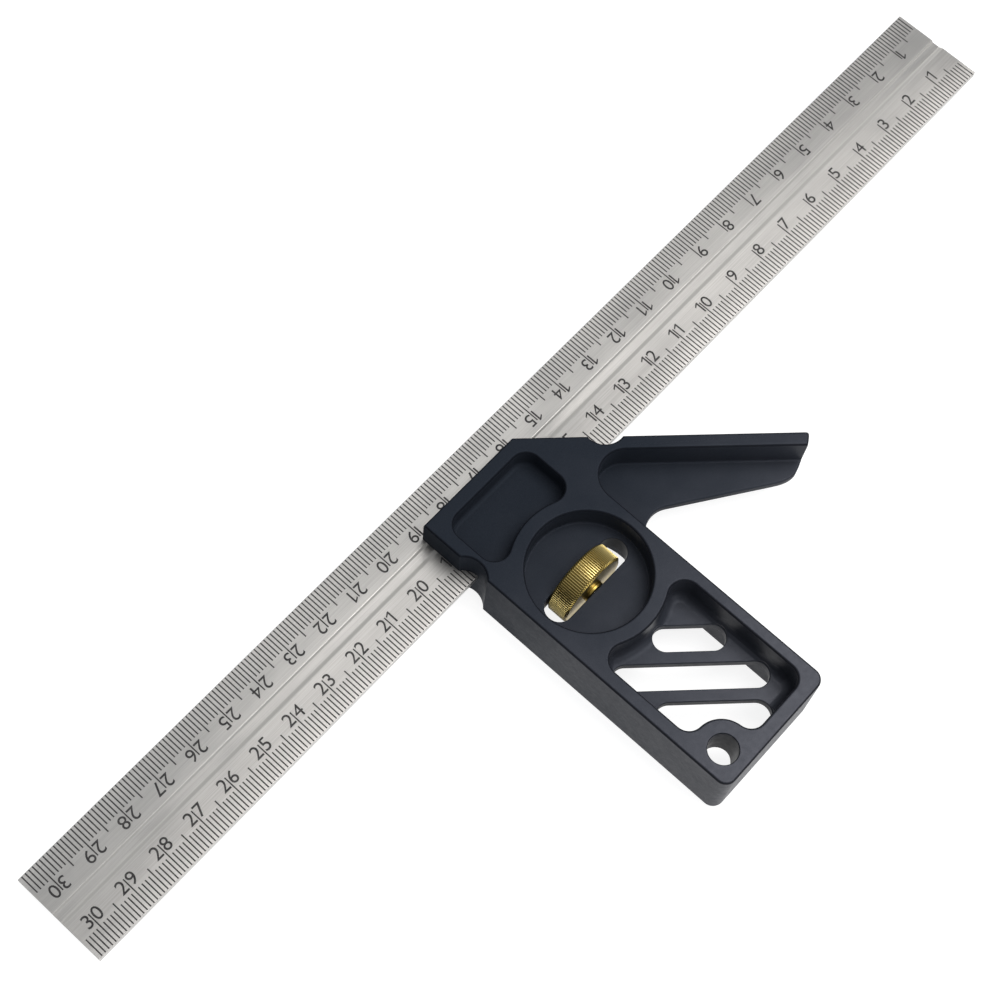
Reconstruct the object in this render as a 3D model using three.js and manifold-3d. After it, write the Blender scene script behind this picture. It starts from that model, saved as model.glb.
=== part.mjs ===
// A combination square: a steel rule that slides through a head with a 90 degree fence, a 45 degree fence and a
// knurled clamp nut. Millimetres, +Z up, lying flat.
//
// The plan is drawn with x along the rule from its zero end, y across it from its outer edge towards the handle,
// and z from the middle of the head's thickness, where the rule lies. The last lines put the finished group's
// origin under the middle of its box.

import * as THREE from "three";
import { mergeVertices } from "three/addons/utils/BufferGeometryUtils.js";
import Module from "manifold-3d";

const wasm = await Module();
wasm.setup();

// ---- Driving dimensions ----

const RULE = { length: 305, width: 24.5, thickness: 2 };
const GROOVE = { y: 10.9, width: 3, depth: 0.5 };

const THICKNESS = 19; // the head's
const FENCE_X = 190.3; // the 90 degree fence
const END_Y = 9.4; // the end of the head, past which the rule's outer edge stands free
const HANDLE_X = 156; // the handle's other long side
const BUTT = { y: 97.9, corner: 2.8 };
const MITRE_SUM = 170.1; // the 45 degree fence is the line x + y = MITRE_SUM
const RELIEF = { radius: 5.2, depth: 2 }; // round notches where the rule's inner edge leaves each fence

const ARM = { tipX: 112.2, wall: 3.4, slope: -0.673, crook: 6.5 };
const WEB = 2.5; // thickness of the arm's web and of the window's ribs

const RECESS = { x: 173, y: 43.5, radius: 14.4, depth: 6.5 };
const RIM = 3.8; // wall round the finger recess, and the corner radius of the pockets beside it
const PANEL = { left: 160.3, right: 186.8, y: 13, depth: 5.5 };
const WINDOW = { left: 159.1, right: 186.8, y: 94.2 };
const HANG_HOLE = { x: 184, y: 91.55, radius: 3.5, boss: 6.95, fillet: 3.6 };
// The slots between the window's ribs, at 45 degrees: the x of the centres of each one's round ends, and the sum
// x + y along its middle.
const SLOTS = [
  { from: 163, to: 170.5, sum: 235.75, width: 6.1 },
  { from: 163, to: 183.7, sum: 248.4, width: 6.1 },
  { from: 170, to: 183.7, sum: 261.5, width: 6.7 },
];

const CLAMP_X = 172.75; // the axis of the bolt and its nut
const NUT_SLOT = { y: 43.2, length: 25.1, width: 6.7, corner: 3.3 };
const NUT = { radius: 9.45, width: 5.6, hubRadius: 2.8, hubLength: 0.8, chamfer: 0.4 };
const BOLT = { radius: 3, shankRadius: 2, endY: 9.7, bridgeY: 25.3, bridge: 0.8, tipY: 46 };
const LIP = { y: 11.65, width: 2.2, reach: 0.4 };
const SPRING = { wire: 0.2, radius: 2.5, turns: 3 };

const SLIDING = 0.05; // clearance of a sliding or turning fit, on each side
const BORE_END = 28.5; // bottom of the wide bore that the bolt and its spring lie in

const COARSE = 12;
const ROUND = 32;

// ---- Helpers ----

/** A closed three.js geometry as a solid that can be joined and cut. */
function solid(geometry) {
  const bare = geometry.clone();
  bare.deleteAttribute("normal");
  bare.deleteAttribute("uv");
  const merged = mergeVertices(bare, 1e-4);
  const mesh = new wasm.Mesh({
    numProp: 3,
    vertProperties: new Float32Array(merged.attributes.position.array),
    triVerts: new Uint32Array(merged.index.array),
  });
  return new wasm.Manifold(mesh);
}

/** A solid as a named mesh of the group. */
function piece(name, shape, material) {
  const mesh = shape.getMesh();
  const geometry = new THREE.BufferGeometry();
  geometry.setAttribute("position", new THREE.BufferAttribute(mesh.vertProperties, 3));
  geometry.setIndex(new THREE.BufferAttribute(mesh.triVerts, 1));
  geometry.computeVertexNormals();
  const made = new THREE.Mesh(geometry, material);
  made.name = name;
  return made;
}

function join(solids) {
  return solids.reduce((all, one) => all.add(one));
}

/** An outline extruded from z = low to z = high. */
function prism(shape, low, high) {
  const geometry = new THREE.ExtrudeGeometry(shape, {
    depth: high - low,
    bevelEnabled: false,
    curveSegments: COARSE,
  });
  return solid(geometry.translate(0, 0, low));
}

/** Hollows sunk into the upper and the lower face, down to a floor that far from mid thickness. */
function sunkBothSides(floor, upper, lower = upper) {
  const past = THICKNESS / 2 + 1;
  return prism(upper, floor, past).add(prism(lower, -past, -floor));
}

function through(shape) {
  return prism(shape, -THICKNESS, THICKNESS);
}

function box(low, high) {
  const size = high.map((value, i) => value - low[i]);
  const geometry = new THREE.BoxGeometry(...size);
  return solid(geometry.translate(...low.map((value, i) => value + size[i] / 2)));
}

/** A cylinder along y on the bolt's axis. */
function rodAlongY(radius, from, to) {
  const geometry = new THREE.CylinderGeometry(radius, radius, to - from, ROUND);
  return solid(geometry.translate(CLAMP_X, (from + to) / 2, 0));
}

function disc(centre, radius) {
  return new THREE.Shape().absarc(centre.x, centre.y, radius, 0, 2 * Math.PI, false);
}

const angleTo = (from, to) => Math.atan2(to.y - from.y, to.x - from.x);

/** A circle's point at an angle. */
const onCircle = (centre, radius, angle) => ({
  x: centre.x + radius * Math.cos(angle),
  y: centre.y + radius * Math.sin(angle),
});

// ---- Head ----

/** Half the opening of a relief notch along its fence. */
const reliefHalf = Math.sqrt(RELIEF.radius ** 2 - (RELIEF.radius - RELIEF.depth) ** 2);

function headOutline() {
  const outside = RELIEF.radius - RELIEF.depth;
  const mitreRelief = {
    x: MITRE_SUM - RULE.width - outside * Math.SQRT1_2,
    y: RULE.width - outside * Math.SQRT1_2,
  };
  const fenceRelief = { x: FENCE_X + outside, y: RULE.width };
  const opening = Math.atan2(reliefHalf, outside);
  const tip = { x: ARM.tipX, y: MITRE_SUM - ARM.tipX };
  const crook = { x: HANDLE_X - ARM.crook, y: tip.y - 8 };
  const crookStart = Math.atan(ARM.slope) - Math.PI / 2;
  const crookPoint = onCircle(crook, ARM.crook, crookStart);
  const armEnd = { x: tip.x + 11.6, y: crookPoint.y + ARM.slope * (tip.x + 11.6 - crookPoint.x) };
  const cornerY = BUTT.y - BUTT.corner;

  const shape = new THREE.Shape();
  shape.moveTo(FENCE_X, END_Y);
  shape.lineTo(MITRE_SUM - END_Y, END_Y);
  shape.absarc(
    mitreRelief.x,
    mitreRelief.y,
    RELIEF.radius,
    Math.PI / 4 - opening,
    Math.PI / 4 + opening,
    false,
  );
  shape.lineTo(tip.x, tip.y);
  shape.quadraticCurveTo(tip.x + 3, tip.y + 2.4, tip.x + 6.4, tip.y + 3.15);
  shape.quadraticCurveTo(tip.x + 8.7, tip.y + 3.4, armEnd.x, armEnd.y);
  shape.absarc(crook.x, crook.y, ARM.crook, crookStart, 0, false);
  shape.absarc(HANDLE_X + BUTT.corner, cornerY, BUTT.corner, Math.PI, Math.PI / 2, true);
  shape.absarc(FENCE_X - BUTT.corner, cornerY, BUTT.corner, Math.PI / 2, 0, true);
  shape.absarc(
    fenceRelief.x,
    fenceRelief.y,
    RELIEF.radius,
    Math.PI - opening,
    Math.PI + opening,
    false,
  );
  return shape;
}

/** The hollow over the arm's web: inside the 45 degree wall, round at the top, open at the tip and below. */
function armHollow() {
  const innerSum = MITRE_SUM + ARM.wall * Math.SQRT2;
  const centre = { x: HANDLE_X - ARM.crook };
  centre.y = innerSum + ARM.crook * Math.SQRT2 - centre.x;
  const pastTip = MITRE_SUM - ARM.tipX + 8;
  const shape = new THREE.Shape();
  shape.absarc(centre.x, centre.y, ARM.crook, -0.75 * Math.PI, 0, false);
  shape.lineTo(HANDLE_X, pastTip);
  shape.lineTo(innerSum - pastTip, pastTip);
  return shape;
}

/** Centre of the corner round between a pocket's side and the rim of the finger recess. */
function rimCorner(side, inward, down) {
  const x = side + inward * RIM;
  const reach = RECESS.radius + 2 * RIM;
  return { x, y: RECESS.y + down * Math.sqrt(reach ** 2 - (x - RECESS.x) ** 2) };
}

function panelOutline() {
  const left = rimCorner(PANEL.left, 1, -1);
  const right = rimCorner(PANEL.right, -1, -1);
  const shape = new THREE.Shape();
  shape.absarc(PANEL.left + RIM, PANEL.y + RIM, RIM, Math.PI, 1.5 * Math.PI, false);
  shape.absarc(PANEL.right - RIM, PANEL.y + RIM, RIM, -Math.PI / 2, 0, false);
  shape.absarc(right.x, right.y, RIM, 0, angleTo(right, RECESS), false);
  shape.absarc(RECESS.x, RECESS.y, RECESS.radius + RIM, angleTo(RECESS, right), angleTo(RECESS, left), true);
  shape.absarc(left.x, left.y, RIM, angleTo(left, RECESS), Math.PI, false);
  return shape;
}

/** The window's outline. The boss round the hanging hole stands in the upper face's window only. */
function windowOutline(bossed) {
  const left = rimCorner(WINDOW.left, 1, 1);
  const right = rimCorner(WINDOW.right, -1, 1);
  const { fillet, boss } = HANG_HOLE;
  const reach = boss + fillet;
  const side = { x: WINDOW.right - fillet };
  side.y = HANG_HOLE.y - Math.sqrt(reach ** 2 - (side.x - HANG_HOLE.x) ** 2);
  const foot = { y: WINDOW.y - fillet };
  foot.x = HANG_HOLE.x - Math.sqrt(reach ** 2 - (foot.y - HANG_HOLE.y) ** 2);

  const shape = new THREE.Shape();
  shape.absarc(left.x, left.y, RIM, Math.PI, 2 * Math.PI + angleTo(left, RECESS), false);
  shape.absarc(RECESS.x, RECESS.y, RECESS.radius + RIM, angleTo(RECESS, left), angleTo(RECESS, right), true);
  shape.absarc(right.x, right.y, RIM, angleTo(right, RECESS), 0, false);
  if (bossed) {
    shape.absarc(side.x, side.y, fillet, 0, angleTo(side, HANG_HOLE), false);
    shape.absarc(HANG_HOLE.x, HANG_HOLE.y, boss, angleTo(HANG_HOLE, side), angleTo(HANG_HOLE, foot), true);
    shape.absarc(foot.x, foot.y, fillet, angleTo(foot, HANG_HOLE), Math.PI / 2, false);
  } else {
    shape.absarc(side.x, foot.y, fillet, 0, Math.PI / 2, false);
  }
  shape.absarc(WINDOW.left + fillet, WINDOW.y - fillet, fillet, Math.PI / 2, Math.PI, false);
  return shape;
}

function slotOutline({ from, to, sum, width }) {
  const shape = new THREE.Shape();
  shape.absarc(from, sum - from, width / 2, Math.PI / 4, 1.25 * Math.PI, false);
  shape.absarc(to, sum - to, width / 2, -0.75 * Math.PI, Math.PI / 4, false);
  return shape;
}

function nutSlotOutline() {
  const { length, width, corner } = NUT_SLOT;
  const x = CLAMP_X - length / 2 + corner;
  const y = NUT_SLOT.y - width / 2 + corner;
  const across = length - 2 * corner;
  const along = width - 2 * corner;
  const shape = new THREE.Shape();
  shape.absarc(x, y, corner, Math.PI, 1.5 * Math.PI, false);
  shape.absarc(x + across, y, corner, -Math.PI / 2, 0, false);
  shape.absarc(x + across, y + along, corner, 0, Math.PI / 2, false);
  shape.absarc(x, y + along, corner, Math.PI / 2, Math.PI, false);
  return shape;
}

function makeHead() {
  const half = THICKNESS / 2;
  const ruleGap = RULE.thickness / 2 + SLIDING;
  const body = prism(headOutline(), -half, half);
  const hollows = join([
    sunkBothSides(WEB / 2, armHollow()),
    sunkBothSides(half - PANEL.depth, panelOutline()),
    sunkBothSides(half - RECESS.depth, disc(RECESS, RECESS.radius)),
    sunkBothSides(WEB / 2, windowOutline(true), windowOutline(false)),
    through(nutSlotOutline()),
    through(disc(HANG_HOLE, HANG_HOLE.radius)),
    ...SLOTS.map((slot) => through(slotOutline(slot))),
    box([0, -1, -ruleGap], [RULE.length, RULE.width + SLIDING, ruleGap]),
    rodAlongY(BOLT.radius + SLIDING, END_Y - 1, BORE_END),
    rodAlongY(BOLT.shankRadius + 2 * SLIDING, BORE_END - 1, RECESS.y),
  ]);
  return body.subtract(hollows);
}

// ---- Rule ----

function makeRule() {
  const half = RULE.thickness / 2;
  const bar = box([0, 0, -half], [RULE.length, RULE.width, half]);
  const groove = box(
    [-1, GROOVE.y, half - GROOVE.depth],
    [RULE.length + 1, GROOVE.y + GROOVE.width, half + 1],
  );
  return bar.subtract(groove);
}

// ---- Clamp ----

// The nut's face that bears on the slot's wall.
const nutY = NUT_SLOT.y - NUT_SLOT.width / 2 + 2 * SLIDING;

function makeClampNut() {
  const bore = BOLT.shankRadius + SLIDING;
  const { radius, width, chamfer, hubRadius, hubLength } = NUT;
  const profile = [
    [bore, 0],
    [radius - chamfer, 0],
    [radius, chamfer],
    [radius, width - chamfer],
    [radius - chamfer, width],
    [hubRadius, width],
    [hubRadius, width + hubLength],
    [bore, width + hubLength],
    [bore, 0],
  ].map(([r, y]) => new THREE.Vector2(r, y));
  const geometry = new THREE.LatheGeometry(profile, 3 * ROUND);
  return solid(geometry.translate(CLAMP_X, nutY, 0));
}

/** The bolt: a fork round the rule with a lip in its groove, a bridge past the rule's edge, and the threaded shank. */
function makeDrawBolt() {
  const ruleGap = RULE.thickness / 2 + 2 * SLIDING;
  const bridgeEnd = BOLT.bridgeY + BOLT.bridge;
  const barrel = rodAlongY(BOLT.radius, BOLT.endY, bridgeEnd);
  const gap = box(
    [CLAMP_X - 2 * BOLT.radius, 0, -ruleGap],
    [CLAMP_X + 2 * BOLT.radius, BOLT.bridgeY, ruleGap],
  );
  const lip = box(
    [CLAMP_X - BOLT.radius, LIP.y, RULE.thickness / 2 - LIP.reach],
    [CLAMP_X + BOLT.radius, LIP.y + LIP.width, BOLT.radius / 2],
  ).intersect(barrel);
  const shank = rodAlongY(BOLT.shankRadius, bridgeEnd - BOLT.bridge / 2, BOLT.tipY);
  return join([barrel.subtract(gap), lip, shank]);
}

class Coil extends THREE.Curve {
  constructor(from, to) {
    super();
    this.from = from;
    this.to = to;
  }

  getPoint(t, target = new THREE.Vector3()) {
    const angle = 2 * Math.PI * SPRING.turns * t;
    return target.set(
      CLAMP_X + SPRING.radius * Math.cos(angle),
      this.from + (this.to - this.from) * t,
      SPRING.radius * Math.sin(angle),
    );
  }
}

function makeBoltSpring() {
  const margin = SPRING.wire + SLIDING;
  const path = new Coil(BOLT.bridgeY + BOLT.bridge + margin, BORE_END - margin);
  const wire = new THREE.Shape().absarc(0, 0, SPRING.wire, 0, 2 * Math.PI, false);
  const geometry = new THREE.ExtrudeGeometry(wire, {
    steps: 24 * SPRING.turns,
    curveSegments: 8,
    extrudePath: path,
  });
  return solid(geometry);
}

// ---- The finished square ----

const anodised = new THREE.MeshStandardMaterial({ color: 0x2d3138, roughness: 0.45, metalness: 0.7 });
const satinSteel = new THREE.MeshStandardMaterial({ color: 0xc9c7c2, roughness: 0.35, metalness: 1 });
const brass = new THREE.MeshStandardMaterial({ color: 0xc9a646, roughness: 0.3, metalness: 1 });
const boltSteel = new THREE.MeshStandardMaterial({ color: 0x8f9196, roughness: 0.4, metalness: 1 });
const springSteel = new THREE.MeshStandardMaterial({ color: 0x77797d, roughness: 0.3, metalness: 1 });

const square = new THREE.Group();
square.add(
  piece("head", makeHead(), anodised),
  piece("rule", makeRule(), satinSteel),
  piece("clamp_nut", makeClampNut(), brass),
  piece("draw_bolt", makeDrawBolt(), boltSteel),
  piece("bolt_spring", makeBoltSpring(), springSteel),
);
for (const part of square.children) {
  part.position.set(-RULE.length / 2, -BUTT.y / 2, THICKNESS / 2);
}

export default square;
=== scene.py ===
"""The looks of a combination square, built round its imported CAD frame.

The plan is drawn in millimetres, as the CAD's is: x along the rule from its zero end, y across it from
its outer edge towards the handle, and z from the middle of the head's thickness. make() puts each
finished mesh in the frame.
"""

import math

import bmesh
import bpy
from mathutils import Matrix, Vector
from mathutils.geometry import intersect_point_line


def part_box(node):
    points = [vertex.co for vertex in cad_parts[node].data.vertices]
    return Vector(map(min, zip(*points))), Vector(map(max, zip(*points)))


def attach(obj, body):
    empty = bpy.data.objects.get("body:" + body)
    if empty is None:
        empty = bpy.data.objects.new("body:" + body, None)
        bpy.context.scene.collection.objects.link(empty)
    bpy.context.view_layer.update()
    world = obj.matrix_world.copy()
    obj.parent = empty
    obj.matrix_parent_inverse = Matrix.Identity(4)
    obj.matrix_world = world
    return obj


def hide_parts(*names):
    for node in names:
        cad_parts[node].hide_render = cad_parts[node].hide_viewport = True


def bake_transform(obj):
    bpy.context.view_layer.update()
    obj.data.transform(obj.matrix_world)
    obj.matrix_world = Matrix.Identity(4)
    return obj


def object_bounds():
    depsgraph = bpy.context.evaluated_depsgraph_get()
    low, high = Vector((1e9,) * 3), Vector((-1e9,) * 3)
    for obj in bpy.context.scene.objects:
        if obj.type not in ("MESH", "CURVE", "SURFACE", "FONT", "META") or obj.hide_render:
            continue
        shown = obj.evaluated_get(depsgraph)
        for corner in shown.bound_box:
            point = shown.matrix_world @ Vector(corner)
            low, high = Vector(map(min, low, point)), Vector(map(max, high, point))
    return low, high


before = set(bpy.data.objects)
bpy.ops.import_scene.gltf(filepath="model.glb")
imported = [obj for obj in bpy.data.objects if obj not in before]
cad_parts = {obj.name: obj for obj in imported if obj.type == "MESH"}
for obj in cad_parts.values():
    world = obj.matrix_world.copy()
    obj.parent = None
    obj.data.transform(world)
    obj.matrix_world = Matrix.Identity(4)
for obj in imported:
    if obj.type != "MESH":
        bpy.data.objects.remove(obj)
cad_low, cad_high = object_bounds()

rule_low, rule_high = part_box("rule")
ORIGIN = Vector((rule_low.x, rule_low.y, (rule_low.z + rule_high.z) / 2))
MM = 0.001

# ---- Camera ----

LENS_MM = 75.45
CAMERA_PLACE = (0.17421, 0.07086, 0.45199)
TARGET = Vector((0.01818, -0.03352, 0.0095))
FRAME_RIGHT = Vector((-0.66865, 0.74107, 0.06097))  # towards the right of the photograph

camera_data = bpy.data.cameras.new("camera")
camera_data.lens = LENS_MM
camera = bpy.data.objects.new("camera", camera_data)
bpy.context.scene.collection.objects.link(camera)
bpy.context.scene.camera = camera
camera.location = CAMERA_PLACE


def aim(thing, target, right=None):
    """Turns a camera or a light to face a point, with its own x axis along a direction if one is given."""
    forward = (Vector(target) - thing.location).normalized()
    if right is None:
        thing.rotation_euler = forward.to_track_quat("-Z", "Y").to_euler()
        return
    up = right.cross(forward).normalized()
    side = forward.cross(up)
    thing.rotation_euler = Matrix((side, up, -forward)).transposed().to_euler()


aim(camera, TARGET, FRAME_RIGHT)

# ---- Driving dimensions, in millimetres, as in the CAD ----

RULE = {"length": 305, "width": 24.5, "thickness": 2}
GROOVE = {"y": 10.9, "width": 3, "depth": 0.5}

THICKNESS = 19
FENCE_X = 190.3
END_Y = 9.4
HANDLE_X = 156
BUTT = {"y": 97.9, "corner": 2.8}
MITRE_SUM = 170.1
RELIEF = {"radius": 5.2, "depth": 2}
ARM = {"tip_x": 112.2, "wall": 3.4, "slope": -0.673, "crook": 6.5, "crook_drop": 8}
# The arm's rounded end: points measured from its tip, and the direction in which its curve leaves the tip.
NOSE = {"way": (0.78, 0.62), "control": (3, 2.4), "shoulder": (6.4, 3.15), "bend": (8.7, 3.4), "length": 11.6}
WEB = 2.5
RECESS = {"x": 173, "y": 43.5, "radius": 14.4, "depth": 6.5}
RIM = 3.8
PANEL = {"left": 160.3, "right": 186.8, "y": 13, "depth": 5.5}
WINDOW = {"left": 159.1, "right": 186.8, "y": 94.2}
HANG_HOLE = {"x": 184, "y": 91.55, "radius": 3.5, "boss": 6.95, "fillet": 3.6}
SLOTS = (
    {"from": 163, "to": 170.5, "sum": 235.75, "width": 6.1},
    {"from": 163, "to": 183.7, "sum": 248.4, "width": 6.1},
    {"from": 170, "to": 183.7, "sum": 261.5, "width": 6.7},
)
CLAMP_X = 172.75
NUT_SLOT = {"y": 43.2, "length": 25.1, "width": 6.7, "corner": 3.3}
NUT = {"radius": 9.45, "width": 5.6, "hub_radius": 2.8, "hub_length": 0.8}
BOLT = {"radius": 3, "shank_radius": 2, "end_y": 9.7, "bridge_y": 25.3, "bridge": 0.8, "tip_y": 46}
LIP = {"y": 11.65, "reach": 0.4}
SPRING = {"wire": 0.2, "radius": 2.5, "turns": 3}
SLIDING = 0.05  # clearance all round a sliding fit
BORE_END = 28.5
NUT_Y = NUT_SLOT["y"] - NUT_SLOT["width"] / 2 + 2 * SLIDING

# Details that only the looks have.
EDGE = 0.6  # radius of the head's worked edges
FINE_EDGE = 0.25  # radius at the mouths of its holes and slots
FOOT = 0.5  # radius where a pocket's wall meets its floor
PANEL_FOOT = 1.1
WINDOW_FOOT = 2.4
TIP_EDGE = 0.9  # how far the rounding of the arm's tip runs back along each side
WEB_EDGE = 0.5  # radius of the arm web's outer edges
MOUTH = 0.3  # how far the rule's slot and the bolt's bore flare at the head's end
ARC_STEP = math.radians(6)
KNURL = {"count": 102, "depth": 0.3}
# The nut's ends: their chamfer, how far from the end the knurl begins and how low its crests are there, and
# the length and lower height of the chamfer's first facet.
NUT_END = {"chamfer": 0.62, "run_out": 0.5, "crest_drop": 0.03, "lead": 0.1, "lead_drop": 0.22}
HUB_EDGE = {"foot": 0.25, "foot_length": 0.12, "chamfer": 0.2, "mouth": 0.15}
BOLT_EDGE = 0.25
THREAD = {"pitch": 0.7, "depth": 0.38, "fade_in": 1.2, "fade_out": 0.9}
POINT = {"drop": 0.35, "length": 0.5}  # chamfer of the shank's tip
# The sides of the rule's groove: how far each laps over the CAD's groove, and its width. The near one, on the
# side of the rule's outer edge, is steep, to clear the bolt's lip when the clamp is loosened.
NEAR_SIDE = {"lap": 0.45, "width": 0.6}
FAR_SIDE = {"lap": 0.3, "width": 1.3}
GROOVE_MARGIN = 0.4  # how far the groove's shading reaches past it
NICK = 0.1  # chamfer of the rule's edges

HALF = THICKNESS / 2
RULE_TOP = RULE["thickness"] / 2
PAST_HEAD = (100, 200)  # two places along the rule, beyond either side of the head
RECESS_CENTRE = (RECESS["x"], RECESS["y"])
HOLE_CENTRE = (HANG_HOLE["x"], HANG_HOLE["y"])
QUARTER = math.pi / 2
DIAGONAL = math.sqrt(0.5)  # x and y of a unit step at 45 degrees

# ---- Outlines ----


def arc(centre, radius, start, end, clockwise=False):
    """Points of a circle's arc from one angle to another."""
    turn = 2 * math.pi
    while not clockwise and end < start:
        end += turn
    while clockwise and end > start:
        end -= turn
    count = max(2, math.ceil(abs(end - start) / ARC_STEP))
    angles = [start + (end - start) * i / count for i in range(count + 1)]
    return [on_circle(centre, radius, angle) for angle in angles]


def on_circle(centre, radius, angle):
    return (centre[0] + radius * math.cos(angle), centre[1] + radius * math.sin(angle))


def bend(start, control, end, count=8):
    """Points of a quadratic curve, without its first."""
    weights = [i / count for i in range(1, count + 1)]
    return [
        tuple((1 - t) ** 2 * a + 2 * t * (1 - t) * b + t * t * c for a, b, c in zip(start, control, end))
        for t in weights
    ]


def closed(points):
    """An outline anticlockwise, without repeated points."""
    same = 1e-3
    kept = []
    for point in map(Vector, points):
        if not kept or (point - kept[-1]).length > same:
            kept.append(point)
    if (kept[0] - kept[-1]).length < same:
        kept.pop()
    area = sum(a.cross(b) for a, b in zip(kept, kept[1:] + kept[:1]))
    return kept if area > 0 else kept[::-1]


def offset(outline, distance):
    """An outline moved outward by a distance, or inward where it is negative."""
    moved = []
    for i, here in enumerate(outline):
        before = (here - outline[i - 1]).normalized()
        after = (outline[(i + 1) % len(outline)] - here).normalized()
        normal = Vector((before.y + after.y, -before.x - after.x))
        moved.append(here + normal * (2 * distance / normal.length_squared))
    return moved


def angle_to(start, end):
    return math.atan2(end[1] - start[1], end[0] - start[0])


def arc_between(centre, radius, start, end):
    """Points of a clockwise arc, from the direction of one point to that of another."""
    return arc(centre, radius, angle_to(centre, start), angle_to(centre, end), clockwise=True)


def stepped(point, step, times=1):
    return (point[0] + times * step[0], point[1] + times * step[1])


def head_outline():
    outside = RELIEF["radius"] - RELIEF["depth"]
    opening = math.acos(outside / RELIEF["radius"])
    sunk = outside * DIAGONAL
    mitre_relief = (MITRE_SUM - RULE["width"] - sunk, RULE["width"] - sunk)
    fence_relief = (FENCE_X + outside, RULE["width"])
    tip = (ARM["tip_x"], MITRE_SUM - ARM["tip_x"])
    along_fence = stepped(tip, (DIAGONAL, -DIAGONAL), TIP_EDGE)
    tip_end = stepped(tip, NOSE["way"], TIP_EDGE)
    shoulder = stepped(tip, NOSE["shoulder"])
    crook = (HANDLE_X - ARM["crook"], tip[1] - ARM["crook_drop"])
    crook_start = math.atan(ARM["slope"]) - QUARTER
    crook_point = on_circle(crook, ARM["crook"], crook_start)
    arm_x = tip[0] + NOSE["length"]
    arm_end = (arm_x, crook_point[1] + ARM["slope"] * (arm_x - crook_point[0]))
    corner, corner_y = BUTT["corner"], BUTT["y"] - BUTT["corner"]
    return closed(
        [(FENCE_X, END_Y), (MITRE_SUM - END_Y, END_Y)]
        + arc(mitre_relief, RELIEF["radius"], math.pi / 4 - opening, math.pi / 4 + opening)
        + [along_fence]
        + bend(along_fence, tip, tip_end)
        + bend(tip_end, stepped(tip, NOSE["control"]), shoulder)
        + bend(shoulder, stepped(tip, NOSE["bend"]), arm_end)
        + arc(crook, ARM["crook"], crook_start, 0)
        + arc((HANDLE_X + corner, corner_y), corner, math.pi, QUARTER, clockwise=True)
        + arc((FENCE_X - corner, corner_y), corner, QUARTER, 0, clockwise=True)
        + arc(fence_relief, RELIEF["radius"], math.pi - opening, math.pi + opening)
    )


def arm_hollow():
    """The hollow over the arm's web. It leaves the head where the crook does, and past the arm's tip."""
    inner_sum = MITRE_SUM + ARM["wall"] * math.sqrt(2)
    x = HANDLE_X - ARM["crook"]
    centre = (x, inner_sum + ARM["crook"] * math.sqrt(2) - x)
    crook_y = MITRE_SUM - ARM["tip_x"] - ARM["crook_drop"]
    step = ARM["crook_drop"] / 2
    past_tip = crook_y + 4 * step
    beside_crook = [(HANDLE_X, crook_y), (HANDLE_X - step, crook_y + step)]
    beyond = [(HANDLE_X - 2 * step, past_tip), (inner_sum - past_tip, past_tip)]
    return closed(arc(centre, ARM["crook"], -1.5 * QUARTER, 0) + beside_crook + beyond)


def rim_corner(side, inward, down):
    """Centre of the corner round between a pocket's side and the rim of the finger recess."""
    x = side + inward * RIM
    reach = RECESS["radius"] + 2 * RIM
    return (x, RECESS["y"] + down * math.sqrt(reach**2 - (x - RECESS["x"]) ** 2))


def panel_outline():
    left = rim_corner(PANEL["left"], 1, -1)
    right = rim_corner(PANEL["right"], -1, -1)
    wide = RECESS["radius"] + RIM
    foot_y = PANEL["y"] + RIM
    return closed(
        arc((PANEL["left"] + RIM, foot_y), RIM, math.pi, 3 * QUARTER)
        + arc((PANEL["right"] - RIM, foot_y), RIM, -QUARTER, 0)
        + arc(right, RIM, 0, angle_to(right, RECESS_CENTRE))
        + arc_between(RECESS_CENTRE, wide, right, left)
        + arc(left, RIM, angle_to(left, RECESS_CENTRE), math.pi)
    )


def window_outline(bossed):
    """The window. The boss round the hanging hole stands in the upper face's window only."""
    left = rim_corner(WINDOW["left"], 1, 1)
    right = rim_corner(WINDOW["right"], -1, 1)
    wide = RECESS["radius"] + RIM
    fillet, boss = HANG_HOLE["fillet"], HANG_HOLE["boss"]
    reach = boss + fillet
    side_x = WINDOW["right"] - fillet
    side = (side_x, HOLE_CENTRE[1] - math.sqrt(reach**2 - (side_x - HOLE_CENTRE[0]) ** 2))
    foot_y = WINDOW["y"] - fillet
    foot = (HOLE_CENTRE[0] - math.sqrt(reach**2 - (foot_y - HOLE_CENTRE[1]) ** 2), foot_y)
    if bossed:
        corner = arc(side, fillet, 0, angle_to(side, HOLE_CENTRE))
        corner += arc_between(HOLE_CENTRE, boss, side, foot)
        corner += arc(foot, fillet, angle_to(foot, HOLE_CENTRE), QUARTER)
    else:
        corner = arc((side_x, foot_y), fillet, 0, QUARTER)
    return closed(
        arc(left, RIM, math.pi, angle_to(left, RECESS_CENTRE))
        + arc_between(RECESS_CENTRE, wide, left, right)
        + arc(right, RIM, angle_to(right, RECESS_CENTRE), 0)
        + corner
        + arc((WINDOW["left"] + fillet, foot_y), fillet, QUARTER, math.pi)
    )


def slot_outline(slot):
    """A slot between two ribs, at 45 degrees with round ends. A centre's y is the slot's sum less its x."""
    total, radius = slot["sum"], slot["width"] / 2
    return closed(
        arc((slot["from"], total - slot["from"]), radius, QUARTER / 2, 2.5 * QUARTER)
        + arc((slot["to"], total - slot["to"]), radius, -1.5 * QUARTER, QUARTER / 2)
    )


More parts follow.
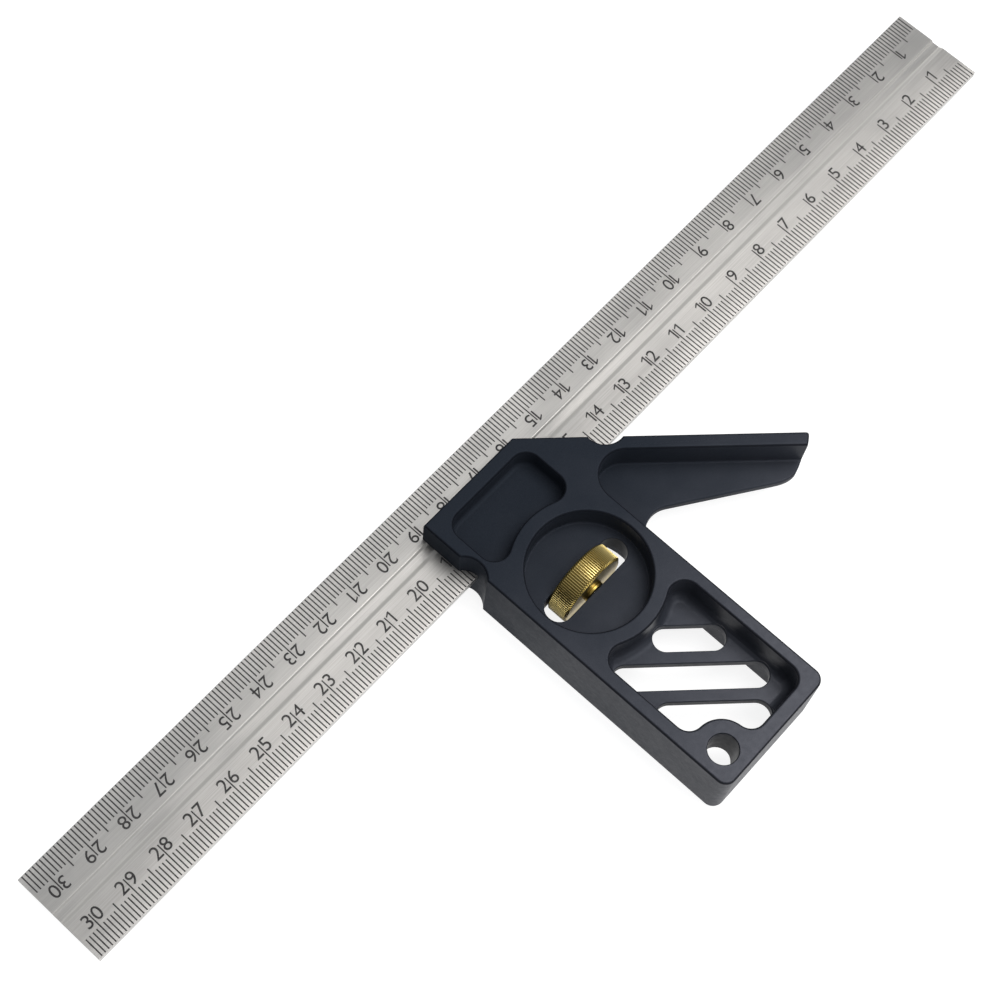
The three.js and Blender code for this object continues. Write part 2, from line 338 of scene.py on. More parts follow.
def rounded_box(low, high, corner):
    """A rectangle with round corners."""
    inner_low = (low[0] + corner, low[1] + corner)
    inner_high = (high[0] - corner, high[1] - corner)
    return closed(
        arc(inner_low, corner, math.pi, 3 * QUARTER)
        + arc((inner_high[0], inner_low[1]), corner, -QUARTER, 0)
        + arc(inner_high, corner, 0, QUARTER)
        + arc((inner_low[0], inner_high[1]), corner, QUARTER, math.pi)
    )


def nut_slot_outline():
    half_length, half_width = NUT_SLOT["length"] / 2, NUT_SLOT["width"] / 2
    low = (CLAMP_X - half_length, NUT_SLOT["y"] - half_width)
    high = (CLAMP_X + half_length, NUT_SLOT["y"] + half_width)
    return rounded_box(low, high, NUT_SLOT["corner"])


def circle(centre, radius):
    return closed(arc(centre, radius, 0, 4 * QUARTER))


# ---- Meshes ----

ALONG = {
    "x": lambda u, v, w: (w, u, v),
    "y": lambda u, v, w: (v, w, u),
    "z": lambda u, v, w: (u, v, w),
}


def skin(rings, axis="z", ring_shaped=False):
    """A closed surface through rings of points. It has flat ends, or closes on itself like a washer."""
    count = len(rings[0])
    points = [ALONG[axis](*point) for ring in rings for point in ring]
    faces = []
    for k in range(len(rings) if ring_shaped else len(rings) - 1):
        low, high = k * count, (k + 1) % len(rings) * count
        for i in range(count):
            j = (i + 1) % count
            faces.append((low + i, low + j, high + j, high + i))
    if not ring_shaped:
        faces.append(tuple(range(count))[::-1])
        faces.append(tuple(range((len(rings) - 1) * count, len(rings) * count)))
    mesh = bpy.data.meshes.new("part")
    mesh.from_pydata(points, [], faces)
    mesh.validate()
    return mesh


def loft(outline, profile, axis="z"):
    """A solid through copies of an outline, from pairs of height and how far out each copy is moved."""
    return skin([[(p.x, p.y, height) for p in offset(outline, out)] for height, out in profile], axis)


def turned(profile, centre, count, axis="y"):
    """A solid of revolution with flat ends, from pairs of position along the axis and radius."""
    angles = [2 * math.pi * i / count for i in range(count)]
    rings = []
    for position, radius in profile:
        rings.append([(*on_circle(centre, radius, angle), position) for angle in angles])
    return skin(rings, axis)


def foot_round(level, radius, steps=4):
    """Profile of an inside corner: a pocket's floor curving up into its wall, or a block's lower edge."""
    angles = [QUARTER * i / steps for i in range(steps + 1)]
    return [(level + radius - radius * math.cos(a), radius * math.sin(a) - radius) for a in angles]


def mouth_round(level, radius, steps=4):
    """Profile of a pocket's wall curving out into the face it opens on."""
    angles = [QUARTER * i / steps for i in range(steps + 1)]
    return [(level - radius + radius * math.sin(a), radius - radius * math.cos(a)) for a in angles]


def flipped(profile):
    return [(-height, out) for height, out in reversed(profile)]


def placed(mesh, name="part"):
    """An object of the scene that holds a mesh."""
    thing = bpy.data.objects.new(name, mesh)
    bpy.context.scene.collection.objects.link(thing)
    return thing


def boolean(thing, mesh, operation="DIFFERENCE"):
    """Cuts a mesh out of an object, or joins it on."""
    other = placed(mesh)
    change = thing.modifiers.new("boolean", "BOOLEAN")
    change.operation = operation
    change.solver = "MANIFOLD"
    change.object = other
    evaluated = thing.evaluated_get(bpy.context.evaluated_depsgraph_get())
    result = bpy.data.meshes.new_from_object(evaluated)
    thing.modifiers.clear()
    thing.data = result
    bpy.data.objects.remove(other)
    if not result.polygons:
        raise RuntimeError("a boolean left nothing")


def make(thing, name, body, paint, replaces=None, smooth_angle=32):
    """Puts a piece drawn on the plan into the frame, shades it, and lets it ride on its body."""
    thing.name = name
    thing.data.name = name
    for vertex in thing.data.vertices:
        vertex.co = ORIGIN + MM * vertex.co
    thing.data.polygons.foreach_set("use_smooth", [True] * len(thing.data.polygons))
    thing.data.set_sharp_from_angle(angle=math.radians(smooth_angle))
    thing.data.materials.clear()
    thing.data.materials.append(paint)
    thing.data.update()
    normals = thing.modifiers.new("flat faces shade flat", "WEIGHTED_NORMAL")
    normals.keep_sharp = True
    normals.weight = 100
    if body:
        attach(thing, body)
    if replaces:
        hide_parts(replaces)
    return thing


# ---- Materials ----


class Paint:
    """A procedural material, and short ways to add nodes to it. Object coordinates are in metres."""

    def __init__(self, name, **values):
        self.material = bpy.data.materials.new(name)
        self.material.use_nodes = True
        self.tree = self.material.node_tree
        self.shader = self.tree.nodes["Principled BSDF"]
        for socket, value in values.items():
            self.shader.inputs[socket.replace("_", " ")].default_value = value
        self.place = self.node("ShaderNodeTexCoord").outputs["Object"]

    def node(self, kind, inputs=(), **settings):
        made = self.tree.nodes.new(kind)
        for setting, value in settings.items():
            setattr(made, setting, value)
        for socket, value in dict(inputs).items():
            if isinstance(value, bpy.types.NodeSocket):
                self.tree.links.new(value, made.inputs[socket])
            else:
                made.inputs[socket].default_value = value
        return made

    def noise(self, size_mm, detail=4, stretch=(1, 1, 1), roughness=0.55):
        """Noise with features of a size in millimetres, drawn out by a factor along each axis."""
        scale = [1 / (MM * size_mm * factor) for factor in stretch]
        scaled = self.node("ShaderNodeMapping", {"Vector": self.place, "Scale": scale})
        made = self.node(
            "ShaderNodeTexNoise",
            {"Vector": scaled.outputs[0], "Scale": 1, "Detail": detail, "Roughness": roughness},
        )
        return made.outputs["Fac"]

    def ramp(self, value, *stops):
        """A colour ramp through pairs of position and colour or grey."""
        made = self.node("ShaderNodeValToRGB", {"Fac": value})
        elements = made.color_ramp.elements
        while len(elements) < len(stops):
            elements.new(0.5)
        for element, (position, colour) in zip(elements, stops):
            element.position = position
            element.color = (*colour, 1) if isinstance(colour, tuple) else (colour, colour, colour, 1)
        return made.outputs["Color"]

    def math(self, operation, a, b=0, clamp=False):
        return self.node("ShaderNodeMath", {0: a, 1: b}, operation=operation, use_clamp=clamp).outputs[0]

    def mix(self, share, a, b, blend="MIX"):
        made = self.node("ShaderNodeMix", {0: share, 6: a, 7: b}, data_type="RGBA", blend_type=blend)
        return made.outputs[2]

    def edge(self, radius_mm, low, high):
        """How near a point is to a sharp outer edge, from 0 to 1."""
        rounded = self.node("ShaderNodeBevel", {"Radius": MM * radius_mm}, samples=6)
        true = self.node("ShaderNodeNewGeometry").outputs["Normal"]
        dot = self.node("ShaderNodeVectorMath", {0: rounded.outputs[0], 1: true}, operation="DOT_PRODUCT")
        return self.ramp(dot.outputs["Value"], (low, 1.0), (high, 0.0))

    def bump(self, *layers):
        """Bump from pairs of height and depth in millimetres, one on top of the other."""
        normal = None
        for height, depth in layers:
            inputs = {"Height": height, "Distance": MM * depth, "Strength": 1}
            if normal:
                inputs["Normal"] = normal
            normal = self.node("ShaderNodeBump", inputs).outputs[0]
        self.tree.links.new(normal, self.shader.inputs["Normal"])

    def set(self, socket, value):
        self.tree.links.new(value, self.shader.inputs[socket])


def anodised_paint():
    """Bead-blasted aluminium, anodised blue-black, with a little bare metal showing at its worked edges."""
    paint = Paint("anodised")
    cloud = paint.noise(22, detail=5)
    grain = paint.noise(0.16, detail=3)
    split = paint.node("ShaderNodeSeparateXYZ", {0: paint.place})
    # Painted light, with cloudy patches: colour and gloss grow lighter towards the butt. 0 is at the rule's
    # outer edge, and 1 at the butt.
    from_rule = paint.math("SUBTRACT", split.outputs["Y"], cad_low.y)
    share = paint.math("DIVIDE", from_rule, cad_high.y - cad_low.y)
    drift = paint.math("MULTIPLY", paint.math("SUBTRACT", cloud, 0.5), 0.5)
    butt_light_and_mottle = paint.math("ADD", share, drift, True)
    tones = (0.25, (0.0148, 0.0184, 0.025)), (0.6, (0.0285, 0.0312, 0.0392)), (0.95, (0.0345, 0.0366, 0.045))
    # Painted light: the blue-black is darkest at the rule's end and lightest at the butt.
    dark = paint.ramp(butt_light_and_mottle, *tones)
    speckle = paint.ramp(grain, (0.35, (0.009, 0.012, 0.018)), (0.75, (0.032, 0.037, 0.047)))
    paint.set("Specular Tint", paint.ramp(butt_light_and_mottle, (0.3, (0.24, 0.24, 0.25)), (0.95, (0.64, 0.62, 0.64))))
    # Walls are duller than level surfaces, and the rounded edges of the broad faces carry painted shade: a
    # dark, less glossy line along them.
    normal = paint.node("ShaderNodeNewGeometry").outputs["Normal"]
    slant = paint.node("ShaderNodeSeparateXYZ", {0: normal})
    level = paint.math("ABSOLUTE", slant.outputs["Z"])
    height = paint.math("ABSOLUTE", paint.math("SUBTRACT", split.outputs["Z"], ORIGIN.z))
    margin = 0.05
    at_face = paint.math("GREATER_THAN", height, MM * (HALF - EDGE - margin))
    sloping = paint.ramp(level, (0.1, 0.0), (0.3, 1.0), (0.85, 1.0), (0.97, 0.0))
    rounded = paint.math("MULTIPLY", at_face, sloping)
    off_walls = paint.ramp(level, (0.0, 0.3), (0.7, 1.0))
    off_edges = paint.ramp(rounded, (0.0, 1.0), (1.0, 0.3))
    gloss = paint.math("MULTIPLY", off_walls, off_edges)
    shine = paint.ramp(butt_light_and_mottle, (0.3, 0.03), (0.95, 0.27))
    metal = paint.ramp(butt_light_and_mottle, (0.3, 0.05), (0.95, 0.3))
    paint.set("Specular IOR Level", paint.math("MULTIPLY", shine, gloss))
    paint.set("Metallic", paint.math("MULTIPLY", metal, gloss))
    body = paint.mix(0.3, dark, speckle)
    # Painted shade: the broad faces' rounded edges are darkened towards black.
    body = paint.mix(paint.math("MULTIPLY", rounded, 0.6), body, (0.002, 0.002, 0.003, 1))
    patches = paint.ramp(paint.noise(3, 3), (0.55, 0.0), (0.8, 0.25))
    worn = paint.math("MULTIPLY", paint.edge(0.35, 0.93, 0.995), patches)
    paint.set("Base Color", paint.mix(worn, body, (0.16, 0.165, 0.175, 1)))
    paint.set("Roughness", paint.ramp(paint.noise(1.2, 4), (0.3, 0.33), (0.7, 0.43)))
    paint.bump((grain, 0.012), (paint.noise(1.4, 3), 0.006))
    return paint.material


def steel_rule_paint():
    """Satin stainless steel, brushed along the rule."""
    paint = Paint("satin_rule", Anisotropic=0.35)
    strokes = paint.noise(0.11, detail=2, stretch=(160, 1, 1))
    fine = paint.noise(0.05, detail=2, stretch=(90, 1, 1))
    cloud = paint.noise(14, detail=5, stretch=(2.2, 1, 1))
    colour = paint.ramp(cloud, (0.3, (0.55, 0.534, 0.511)), (0.7, (0.627, 0.608, 0.582)))
    lines = paint.ramp(strokes, (0.3, (0.80, 0.80, 0.80)), (0.7, (1.0, 1.0, 1.0)))
    body = paint.mix(1.0, colour, lines, "MULTIPLY")
    across = paint.node("ShaderNodeSeparateXYZ", {0: paint.place}).outputs["Y"]
    from_edge = paint.math("DIVIDE", paint.math("SUBTRACT", across, ORIGIN.y), MM * RULE["width"])
    # Painted shade across the rule: full brightness at the outer edge, darkest three quarters across, lighter
    # again at the far edge.
    shade_across_rule = paint.ramp(from_edge, (0.03, 1.0), (0.27, 0.78), (0.5, 0.72), (0.74, 0.65), (0.97, 0.85))
    body = paint.mix(1.0, body, shade_across_rule, "MULTIPLY")
    groove_low = ORIGIN.y + MM * (GROOVE["y"] - GROOVE_MARGIN)
    band = MM * (GROOVE["width"] + 2 * GROOVE_MARGIN)
    share = paint.math("DIVIDE", paint.math("SUBTRACT", across, groove_low), band, True)
    near = paint.ramp(share, (0.0, 0.0), (0.03, 1.0), (0.12, 1.0), (0.17, 0.0))
    far = paint.ramp(share, (0.60, 0.0), (0.66, 1.0), (0.92, 1.0), (0.98, 0.0))
    sides = paint.math("ADD", near, far, True)
    # Painted shade: the groove's sides are darker than the face, the near side darkest; they are also less
    # metallic and rougher.
    body = paint.mix(near, body, (0.31, 0.304, 0.29, 1))
    paint.set("Base Color", paint.mix(far, body, (0.42, 0.41, 0.39, 1)))
    paint.set("Metallic", paint.ramp(sides, (0.0, 0.95), (1.0, 0.15)))
    smudge = paint.noise(7, detail=4, stretch=(1.8, 1, 1))
    satin = paint.ramp(smudge, (0.3, 0.31), (0.7, 0.41))
    paint.set("Roughness", paint.mix(sides, satin, (0.62, 0.62, 0.62, 1)))
    paint.bump((strokes, 0.003), (fine, 0.0012))
    return paint.material


def ink_paint():
    """Black filling of the engraved graduations."""
    paint = Paint("graduation_ink", Specular_IOR_Level=0.3)
    patches = paint.noise(1.1, detail=4)
    paint.set("Base Color", paint.ramp(patches, (0.3, (0.012, 0.011, 0.012)), (0.75, (0.05, 0.047, 0.047))))
    paint.set("Roughness", paint.ramp(paint.noise(0.3, 3), (0.3, 0.5), (0.7, 0.7)))
    paint.bump((paint.noise(0.08, 2), 0.004))
    return paint.material


def brass_paint():
    """Machined brass, tarnished between its knurls and rubbed bright on their crests."""
    paint = Paint("machined_brass", Metallic=1.0)
    tarnish = paint.noise(2.2, detail=4)
    colour = paint.ramp(tarnish, (0.3, (0.40, 0.30, 0.085)), (0.7, (0.50, 0.38, 0.12)))
    axis = (ORIGIN.x + MM * CLAMP_X, 0, ORIGIN.z)
    from_axis = paint.node("ShaderNodeVectorMath", {0: paint.place, 1: axis}, operation="SUBTRACT")
    flat = paint.node("ShaderNodeVectorMath", {0: from_axis.outputs[0], 1: (1, 0, 1)}, operation="MULTIPLY")
    radius = paint.node("ShaderNodeVectorMath", {0: flat.outputs[0]}, operation="LENGTH").outputs["Value"]
    depth = MM * KNURL["depth"]
    root = MM * (NUT["radius"] - KNURL["depth"])
    margin = MM * 0.05
    height = paint.math("DIVIDE", paint.math("SUBTRACT", radius, root), depth, True)
    in_knurl = paint.math("GREATER_THAN", radius, root - margin)
    shade = paint.mix(height, (0.12, 0.085, 0.022, 1), (0.66, 0.53, 0.22, 1))
    colour = paint.mix(paint.math("MULTIPLY", in_knurl, 0.8), colour, shade)
    paint.set("Base Color", colour)
    paint.set("Roughness", paint.ramp(paint.noise(0.7, 4), (0.3, 0.26), (0.7, 0.38)))
    paint.bump((paint.noise(0.9, 3), 0.0015))
    return paint.material


def plain_steel_paint(name, dark, light, grain_mm, stretch):
    """Turned or drawn steel."""
    paint = Paint(name, Metallic=1.0)
    cloud = paint.noise(1.5, detail=4)
    colour = paint.ramp(cloud, (0.3, (dark, dark, dark * 1.03)), (0.7, (light, light, light * 1.02)))
    worn = paint.edge(0.1, 0.9, 0.99)
    paint.set("Base Color", paint.mix(worn, colour, (0.72, 0.72, 0.73, 1)))
    paint.set("Roughness", paint.ramp(paint.noise(0.6, 4), (0.3, 0.26), (0.7, 0.42)))
    paint.bump((paint.noise(grain_mm, 2, stretch), 0.003))
    return paint.material


anodised = anodised_paint()
satin_rule = steel_rule_paint()
ink = ink_paint()
brass = brass_paint()
bolt_steel = plain_steel_paint("turned_steel", 0.36, 0.5, 0.06, (30, 1, 30))
spring_steel = plain_steel_paint("spring_wire", 0.24, 0.36, 0.04, (1, 1, 1))

# ---- Head ----


def make_head():
    block = foot_round(-HALF, EDGE)
    head = placed(loft(head_outline(), block + flipped(block)))
    cut_pockets(head)
    soften_web_edge(head)
    cut_rule_slot(head)
    cut_bolt_bore(head)
    return make(head, "head_body", "head", anodised, "head")


def cut_pockets(head):
    """Sinks the pockets into both faces, and cuts the holes through their floors."""
    recess = circle(RECESS_CENTRE, RECESS["radius"])
    recess_floor = HALF - RECESS["depth"]
    # Height of the floor, radius of its foot, outline above and outline below.
    sinks = [
        (WEB / 2, FOOT, arm_hollow(), arm_hollow()),
        (HALF - PANEL["depth"], PANEL_FOOT, panel_outline(), panel_outline()),
        (WEB / 2, WINDOW_FOOT, window_outline(True), window_outline(False)),
        (recess_floor, FOOT, recess, recess),
    ]
    for floor, foot, upper, lower in sinks:
        profile = foot_round(floor, foot) + mouth_round(HALF, EDGE) + [(HALF + 1, EDGE)]
        boolean(head, loft(upper, profile))
        boolean(head, loft(lower, flipped(profile)))
    holes = [(circle(HOLE_CENTRE, HANG_HOLE["radius"]), HALF), (nut_slot_outline(), recess_floor)]
    holes += [(slot_outline(slot), WEB / 2) for slot in SLOTS]
    for outline, face in holes:
        profile = mouth_round(face, FINE_EDGE, 3) + [(face + WINDOW_FOOT + 0.1, FINE_EDGE)]
        boolean(head, loft(outline, flipped(profile) + profile))


def soften_web_edge(head):
    """Rounds the arm web's upper and lower edges where the web ends at the head's outline."""
    outline = head_outline()
    sides = list(zip(outline, outline[1:] + outline[:1]))
    near_enough = 0.01

    def on_outline(place):
        flat = place.xy
        for start, end in sides:
            near, share = intersect_point_line(flat, start, end)
            within = -near_enough < share < 1 + near_enough
            if within and (near.xy - flat).length < near_enough:
                return True
        return False

    def on_web_face(place):
        return abs(abs(place.z) - WEB / 2) < near_enough / 2

    work = bmesh.new()
    work.from_mesh(head.data)
    edges = []
    for edge in work.edges:
        places = [vertex.co for vertex in edge.verts]
        if all(map(on_web_face, places)) and all(map(on_outline, places)):
            edges.append(edge)
    bmesh.ops.bevel(work, geom=edges, offset=WEB_EDGE, segments=4, profile=0.5, affect="EDGES")
    work.to_mesh(head.data)
    work.free()


def cut_rule_slot(head):
    """The slot that the rule slides in, flared where it opens at the head's end."""
    gap = RULE_TOP + SLIDING
    seat_y = RULE["width"] + SLIDING
    flare = gap + MOUTH + 1
    section = [(seat_y, -gap), (seat_y, gap), (END_Y + MOUTH, gap), (END_Y - 1, flare)]
    section += [(END_Y - 1, -flare), (END_Y + MOUTH, -gap)]
    boolean(head, loft(closed(section), [(x, 0) for x in PAST_HEAD], "x"))


def cut_bolt_bore(head):
    """The stepped bore of the draw bolt, from the head's end to the finger recess."""
    centre = (0, CLAMP_X)
    wide = BOLT["radius"] + SLIDING
    narrow = BOLT["shank_radius"] + 2 * SLIDING
    flared = [(END_Y - 1, wide + 1 + MOUTH), (END_Y + MOUTH, wide), (BORE_END, wide)]
    boolean(head, turned(flared, centre, 48))
    boolean(head, turned([(BORE_END - 1, narrow), (RECESS["y"], narrow)], centre, 40))


make_head()

# ---- Rule ----


def slope(start, end, steps=7):
    """Points of a side that leaves its start and meets its end level."""
    run, rise = end[0] - start[0], end[1] - start[1]
    points = []
    for i in range(steps + 1):
        share = i / steps
        points.append((start[0] + run * share, start[1] + rise * (1 - math.cos(math.pi * share)) / 2))
    return points


def make_rule():
    """The bar, as a section drawn in y and z with a soft groove along its upper face."""
    length, width, top = RULE["length"], RULE["width"], RULE_TOP
    floor = top - GROOVE["depth"]
    near = GROOVE["y"] - NEAR_SIDE["lap"]
    far = GROOVE["y"] + GROOVE["width"] + FAR_SIDE["lap"]
    section = [(NICK, -top), (width - NICK, -top), (width, NICK - top), (width, top - NICK)]
    section += [(width - NICK, top)]
    section += slope((far, top), (far - FAR_SIDE["width"], floor))
    section += slope((near + NEAR_SIDE["width"], floor), (near, top))
    section += [(NICK, top), (0, top - NICK), (0, NICK - top)]
    end = NICK * 0.8
    ends = [(0, -end), (end, 0), (length - end, 0), (length, -end)]
    bar = placed(loft(closed(section), ends, "x"))
    return make(bar, "rule_bar", "rule", satin_rule, "rule", smooth_angle=50)


make_rule()

TICK = {"width": 0.31, "short": 5.0, "five": 6.4, "ten": 8.5, "inset": 0.12}
DIGIT = {"height": 3.2, "baseline": 5.85, "gap": 0.42, "heavier": 0.004}
INK = {"proud": 0.012, "sunk": 0.05}  # above and below the rule's upper face


def tick_length(millimetre):
    if millimetre % 10 == 0:
        return TICK["ten"]
    return TICK["five"] if millimetre % 5 == 0 else TICK["short"]


def make_ticks():
    """Both rows of graduations, as thin closed strips let into the upper face."""
    points, faces = [], []
    half = TICK["width"] / 2
    for x in range(1, RULE["length"]):
        for edge, inward in ((0, 1), (RULE["width"], -1)):
            near, far = edge + inward * TICK["inset"], edge + inward * tick_length(x)
            low_y, high_y = sorted((near, far))
            first = len(points)
            corners = [(x - half, low_y), (x + half, low_y), (x + half, high_y), (x - half, high_y)]
            for z in (RULE_TOP - INK["sunk"], RULE_TOP + INK["proud"]):
                points += [(*corner, z) for corner in corners]
            strip = [(3, 2, 1, 0), (4, 5, 6, 7), (0, 1, 5, 4), (1, 2, 6, 5), (2, 3, 7, 6), (3, 0, 4, 7)]
            faces += [tuple(first + corner for corner in face) for face in strip]
    mesh = bpy.data.meshes.new("ticks")
    mesh.from_pydata(points, [], faces)
    return make(placed(mesh), "rule_ticks", "rule", ink)


def digit_mesh(digit):
    """One digit as a closed flat mesh, with its lower left corner at the origin and the right height."""
    if digit == 1:
        return flagged_one()
    curve = bpy.data.curves.new("digit", "FONT")
    curve.body = str(digit)
    curve.resolution_u = 4
    curve.offset = 0 if digit == 4 else DIGIT["heavier"]  # more would close the 4
    curve.extrude = 0.01  # any thickness will do, as add() sets the heights
    text = placed(curve)
    mesh = bpy.data.meshes.new_from_object(text.evaluated_get(bpy.context.evaluated_depsgraph_get()))
    bpy.data.objects.remove(text)
    low_x, high_x = (pick(v.co.x for v in mesh.vertices) for pick in (min, max))
    low_y, high_y = (pick(v.co.y for v in mesh.vertices) for pick in (min, max))
    scale = DIGIT["height"] / (high_y - low_y)
    points = [((v.co.x - low_x) * scale, (v.co.y - low_y) * scale, v.co.z > 0) for v in mesh.vertices]
    return points, [tuple(p.vertices) for p in mesh.polygons], (high_x - low_x) * scale


def flagged_one():
    """The digit 1: an upright stroke with a flag at its top left."""
    left, right = 0.27, 0.40  # sides of the stroke, as shares of the digit's height
    outline = [(left, 0), (right, 0), (right, 1), (0.30, 1), (0, 0.79), (0, 0.67), (left, 0.84)]
    count, height = len(outline), DIGIT["height"]
    points = [(u * height, v * height, upper) for upper in (False, True) for u, v in outline]
    faces = [tuple(range(count))[::-1], tuple(range(count, 2 * count))]
    for i in range(count):
        j = (i + 1) % count
        faces.append((i, j, count + j, count + i))
    return points, faces, right * height


def make_numbers():
    """The centimetre numbers along both edges. Each row is read with its own edge below it."""
    digits = {str(d): digit_mesh(d) for d in range(10)}
    points, faces = [], []

    def add(digit, left, x, edge, side):
        """Adds a digit whose left side is a distance to the right of the tick at x, as the row is read."""
        shape, polygons, _ = digits[digit]
        first = len(points)
        for u, v, upper in shape:
            z = RULE_TOP + INK["proud"] if upper else RULE_TOP - INK["sunk"]
            points.append((x + side * (left + u), edge + side * (DIGIT["baseline"] + v), z))
        faces.extend(tuple(first + i for i in polygon) for polygon in polygons)

    for centimetre in range(1, RULE["length"] // 10 + 1):
        x, label = 10 * centimetre, str(centimetre)
        for edge, side in ((0, 1), (RULE["width"], -1)):
            width = digits[label[0]][2]
            before = label[0] if len(label) == 2 or side == 1 else None
            if before:
                add(before, -DIGIT["gap"] - width, x, edge, side)
            if len(label) == 2 or side == -1:
                add(label[-1], DIGIT["gap"], x, edge, side)
    mesh = bpy.data.meshes.new("numbers")
    mesh.from_pydata(points, [], faces)
    return make(placed(mesh), "rule_numbers", "rule", ink)


make_ticks()
make_numbers()

# ---- Clamp ----


def make_nut():
    """The knurled nut, as rings round its axis. The knurl runs out at both chamfers."""
    heights = (0, 1, 1, 0)  # across one knurl, from its roots to its crest
    count = KNURL["count"] * len(heights)
    radius, width, hub = NUT["radius"], NUT["width"], NUT["hub_radius"]
    bore = BOLT["shank_radius"] + SLIDING
    root = radius - KNURL["depth"]
    face, lead = radius - NUT_END["chamfer"], root - NUT_END["lead_drop"]
    # Position along the axis, radius at the knurl's roots, and radius at its crests.
    near_end = [
        (0, face, face),
        (NUT_END["lead"], lead, lead),
        (NUT_END["run_out"], root, radius - NUT_END["crest_drop"]),
        (NUT_END["chamfer"], root, radius),
    ]
    far_end = [(width - along, low, high) for along, low, high in reversed(near_end)]
    last, mouth = width + NUT["hub_length"], HUB_EDGE["mouth"]
    hub_part = [
        (width, hub + HUB_EDGE["foot"]),
        (width + HUB_EDGE["foot_length"], hub),
        (last - HUB_EDGE["chamfer"], hub),
        (last, hub - HUB_EDGE["chamfer"]),
        (last, bore + mouth),
        (last - mouth, bore),
    ]
    profile = [(0, bore, bore)] + near_end + far_end + [(along, r, r) for along, r in hub_part]
    rings = []
    for along, low, high in profile:
        ring = []
        for i in range(count):
            angle = 2 * math.pi * i / count
            r = low + (high - low) * heights[i % len(heights)]
            ring.append((r * math.cos(angle), CLAMP_X + r * math.sin(angle), NUT_Y + along))
        rings.append(ring)
    nut = placed(skin(rings, "y", ring_shaped=True))
    return make(nut, "knurled_nut", "nut", brass, "clamp_nut", smooth_angle=28)


def make_bolt():
    """The draw bolt: a fork round the rule, with a lip in its groove, and a threaded shank."""
    centre = (0, CLAMP_X)
    radius, shank = BOLT["radius"], BOLT["shank_radius"]
    bridge_end = BOLT["bridge_y"] + BOLT["bridge"]
    end_y = BOLT["end_y"]
    barrel = [(end_y, radius - BOLT_EDGE), (end_y + BOLT_EDGE, radius), (bridge_end, radius)]
    bolt = placed(turned(barrel, centre, 64))
    gap = RULE_TOP + 2 * SLIDING
    slot = closed([(0, -gap), (BOLT["bridge_y"], -gap), (BOLT["bridge_y"], gap), (0, gap)])
    across = [(CLAMP_X - 2 * radius, 0), (CLAMP_X + 2 * radius, 0)]
    boolean(bolt, loft(slot, across, "x"))
    lip_gap, inset = 0.1, 0.05  # from the lip to the groove's far side, and to the barrel's surface
    lip_end = GROOVE["y"] + GROOVE["width"] + FAR_SIDE["lap"] - lip_gap - FAR_SIDE["width"]
    low, high = RULE_TOP - LIP["reach"], radius / 2
    section = closed([(LIP["y"], low), (lip_end, low), (lip_end, high), (LIP["y"], high)])
    half = math.sqrt(radius**2 - high**2) - inset
    boolean(bolt, loft(section, [(CLAMP_X - half, 0), (CLAMP_X + half, 0)], "x"), "UNION")
    boolean(bolt, thread(bridge_end - BOLT["bridge"] / 2, BOLT["tip_y"], shank), "UNION")
    return make(bolt, "draw_bolt_turned", "bolt", bolt_steel, "draw_bolt", smooth_angle=40)


def thread(start, end, radius):
    """A threaded shank with flat ends, its thread fading out at both."""
    count, per_turn = 36, 8
    rows = round((end - start) / THREAD["pitch"] * per_turn)
    rings = []
    for k in range(rows + 1):
        along = start + (end - start) * k / rows
        fade = min(1, (along - start) / THREAD["fade_in"], (end - along) / THREAD["fade_out"])
        drop = POINT["drop"] * max(0, 1 - (end - along) / POINT["length"])
        ring = []
        for i in range(count):
            angle = 2 * math.pi * i / count
            turn = (along / THREAD["pitch"] + i / count) % 1
            cut = THREAD["depth"] * (1 - abs(2 * turn - 1))
            r = radius - max(0, fade) * cut - drop
            ring.append((r * math.cos(angle), CLAMP_X + r * math.sin(angle), along))
        rings.append(ring)
    return skin(rings, "y")


def make_spring():
    """The coil between the bolt's bridge and the bottom of its bore."""
    wire, radius = SPRING["wire"], SPRING["radius"]
    margin = wire + SLIDING
    start = BOLT["bridge_y"] + BOLT["bridge"] + margin
    end = BORE_END - margin
    per_turn, around = 40, 12
    steps = per_turn * SPRING["turns"]
    rings = []
    for k in range(steps + 1):
        angle = 2 * math.pi * SPRING["turns"] * k / steps
        middle = start + (end - start) * k / steps
        ring = []
        for i in range(around):
            turn = 2 * math.pi * i / around
            r = radius + wire * math.cos(turn)
            along = middle + wire * math.sin(turn)
            ring.append((r * math.cos(angle), CLAMP_X + r * math.sin(angle), along))
        rings.append(ring)
    spring = placed(skin(rings, "y"))
    make(spring, "bolt_spring_coil", None, spring_steel, "bolt_spring")
    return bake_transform(spring)


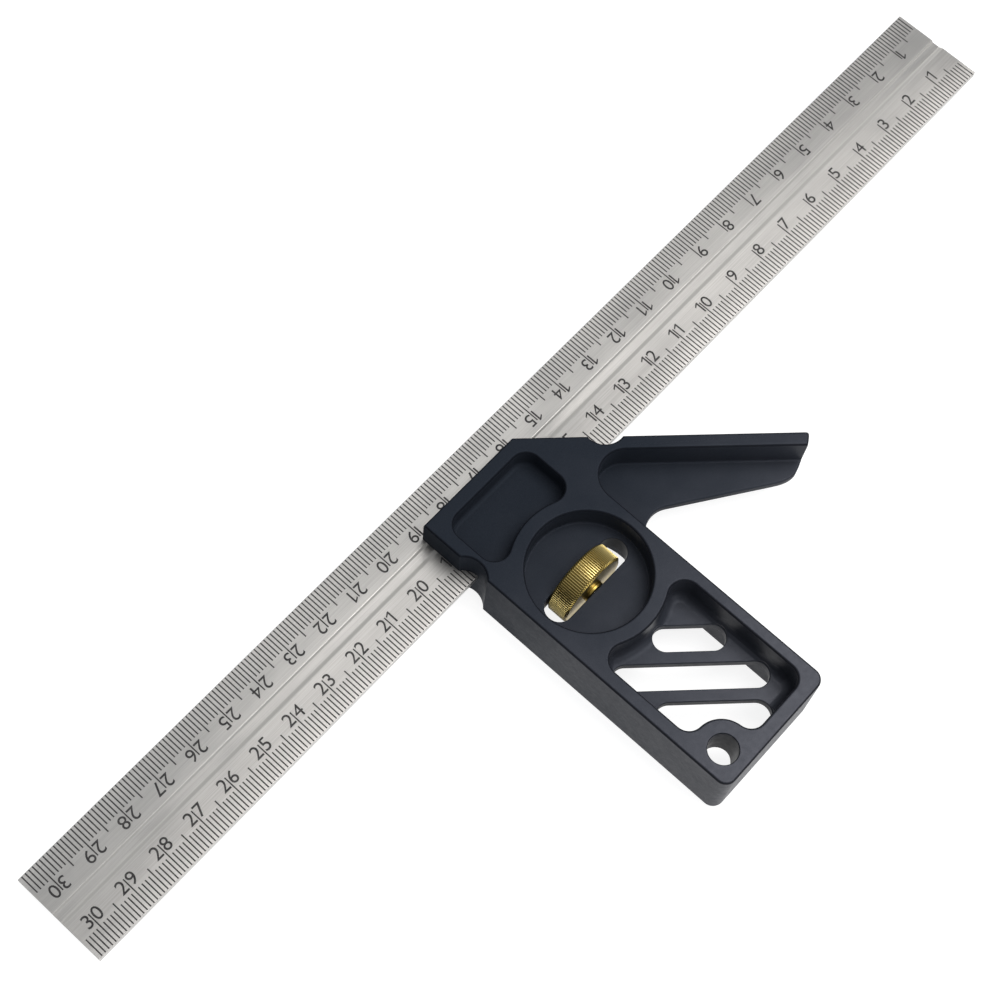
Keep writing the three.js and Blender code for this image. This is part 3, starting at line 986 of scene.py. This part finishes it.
make_nut()
make_bolt()
make_spring()

# ---- Stage and light ----


def make_floor():
    """A wide sheet just under the part. It glows a little, so that the ground stays pale."""
    side, gap = 10, 0.0001
    level = cad_low.z - gap
    corners = [(x, y, level) for x, y in ((-side, -side), (side, -side), (side, side), (-side, side))]
    mesh = bpy.data.meshes.new("floor")
    mesh.from_pydata(corners, [], [(0, 1, 2, 3)])
    floor = placed(mesh, "floor")
    paint = Paint(
        "floor_paper",
        Roughness=0.9,
        Specular_IOR_Level=0.1,
        Emission_Color=(1, 1, 1, 1),
        Emission_Strength=0.86,
    )
    paint.set("Base Color", paint.ramp(paint.noise(60, 3), (0.3, 0.28), (0.7, 0.30)))
    mesh.materials.append(paint.material)


def area_light(name, place, target, size, radiance, colour=(1, 1, 1)):
    """A square soft light, as bright to look at as its radiance says."""
    data = bpy.data.lights.new(name, "AREA")
    data.shape = "SQUARE"
    data.size = size
    data.color = colour
    data.energy = radiance * math.pi * size**2
    light = placed(data, name)
    light.location = place
    light.visible_camera = False
    aim(light, target)


make_floor()
area_light("overhead", (-0.25, 0.165, 0.68), (-0.25, 0.165, 0), 0.5, 6.5, (1, 0.985, 0.965))
area_light("front", (0.1, 0.8, 0.42), (0, 0, 0), 0.5, 3, (1, 0.98, 0.98))

# The studio's light, as pairs of how far up a direction points and its colour.
SKY = ((0.5, (0.26, 0.265, 0.275, 1)), (0.8, (0.63, 0.65, 0.675, 1)))

world = bpy.data.worlds.new("studio")
bpy.context.scene.world = world
world.use_nodes = True
tree = world.node_tree
direction = tree.nodes.new("ShaderNodeTexCoord")
split = tree.nodes.new("ShaderNodeSeparateXYZ")
sky = tree.nodes.new("ShaderNodeValToRGB")
for element, (position, colour) in zip(sky.color_ramp.elements, SKY):
    element.position = position
    element.color = colour
tree.links.new(direction.outputs["Generated"], split.inputs[0])
tree.links.new(split.outputs["Z"], sky.inputs[0])
tree.links.new(sky.outputs[0], tree.nodes["Background"].inputs["Color"])
bpy.context.scene.view_settings.view_transform = "Standard"
